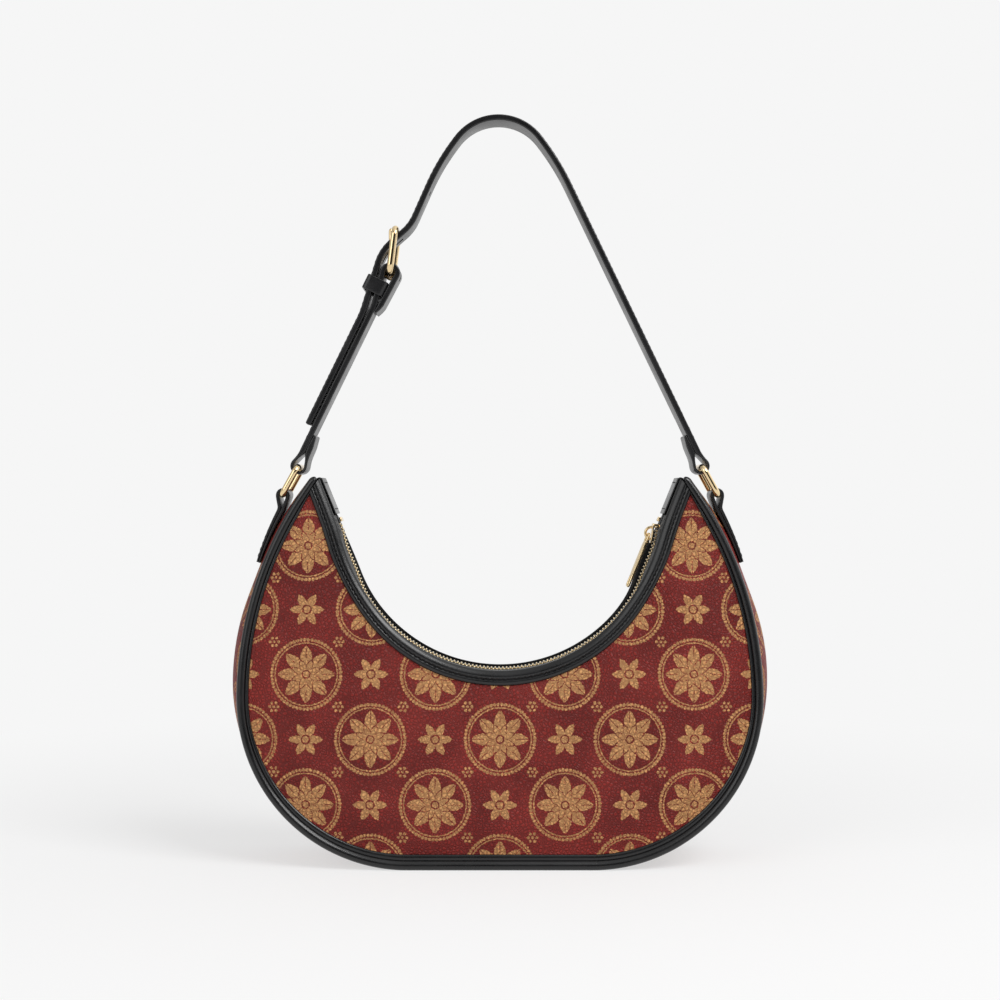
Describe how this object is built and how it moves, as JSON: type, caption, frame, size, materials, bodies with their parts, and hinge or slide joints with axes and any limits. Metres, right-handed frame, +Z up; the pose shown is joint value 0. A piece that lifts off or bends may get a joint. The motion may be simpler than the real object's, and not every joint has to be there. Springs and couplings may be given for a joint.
{
  "type": "half moon shoulder bag",
  "caption": "Crescent shoulder bag: two leaning panels on a swollen gusset, a curved zip mouth, and a buckled strap on two wire rings.",
  "frame": {"origin": "on the floor, under the middle of the bag", "axes": "+X to the right seen from the front, +Y from the front to the back, +Z up"},
  "size_m": [0.2802, 0.0636, 0.3892],
  "materials": {
    "printed_leather": "pebbled coated leather cloth, oxblood with a tan all-over ornament",
    "black_leather": "smooth black leather with painted edges",
    "gold_metal": "polished pale gold plating",
    "zip_tape": "black woven tape",
    "lining_cloth": "black twill lining"
  },
  "bodies": {
    "bag": {"front_panel": "printed_leather", "back_panel": "printed_leather", "gusset": "printed_leather", "front_piping": "black_leather", "back_piping": "black_leather", "front_top_band": "black_leather", "back_top_band": "black_leather", "zip_facing_front": "black_leather", "zip_facing_back": "black_leather", "zip_end_tab_left": "black_leather", "zip_end_tab_right": "black_leather", "strap_tab_left": "black_leather", "strap_tab_right": "black_leather", "zip_teeth_front": "gold_metal", "zip_teeth_back": "gold_metal", "zip_stops": "gold_metal", "zip_tape_front": "zip_tape", "zip_tape_back": "zip_tape", "lining_front": "lining_cloth", "lining_back": "lining_cloth", "lining_gusset": "lining_cloth", "inner_pocket": "lining_cloth"},
    "zip_slider": {"zip_slider": "gold_metal"},
    "zip_pull": {"zip_pull": "gold_metal"},
    "ring_left": {"ring_left": "gold_metal"},
    "ring_right": {"ring_right": "gold_metal"},
    "strap": {"main_strap": "black_leather", "strap_end_right": "black_leather", "strap_end_left": "black_leather", "buckle_strap": "black_leather", "buckle_frame": "gold_metal", "strap_keeper": "black_leather"},
    "buckle_prong": {"buckle_prong": "gold_metal"}
  },
  "joints": [
    {"name": "zip_slide", "type": "hinge", "parent": "bag", "child": "zip_slider", "pos_m": [0, 0, 0.1825], "axis": [0, 1, 0], "range_deg": [0, 163], "deforming": ["zip_teeth_front", "zip_teeth_back"]},
    {"name": "pull_swing", "type": "hinge", "parent": "zip_slider", "child": "zip_pull", "pos_m": [0.07947, 0, 0.17062], "axis": [0, 1, 0], "range_deg": [0, 60]},
    {"name": "ring_left_swing", "type": "hinge", "parent": "bag", "child": "ring_left", "pos_m": [-0.11325, 0, 0.19082], "axis": [0, 1, 0], "range_deg": [-3, 3]},
    {"name": "ring_right_swing", "type": "hinge", "parent": "bag", "child": "ring_right", "pos_m": [0.11325, 0, 0.19082], "axis": [0, 1, 0], "range_deg": [-3, 3]},
    {"name": "strap_fold", "type": "hinge", "parent": "bag", "child": "strap", "pos_m": [0, 0, 0.20516], "axis": [1, 0, 0], "range_deg": [-75, 75], "deforming": ["strap_end_left", "strap_end_right"]},
    {"name": "prong_swing", "type": "hinge", "parent": "strap", "child": "buckle_prong", "pos_m": [-0.0574, 0, 0.30656], "axis": [0, -1, 0], "range_deg": [0, 8]}
  ]
}
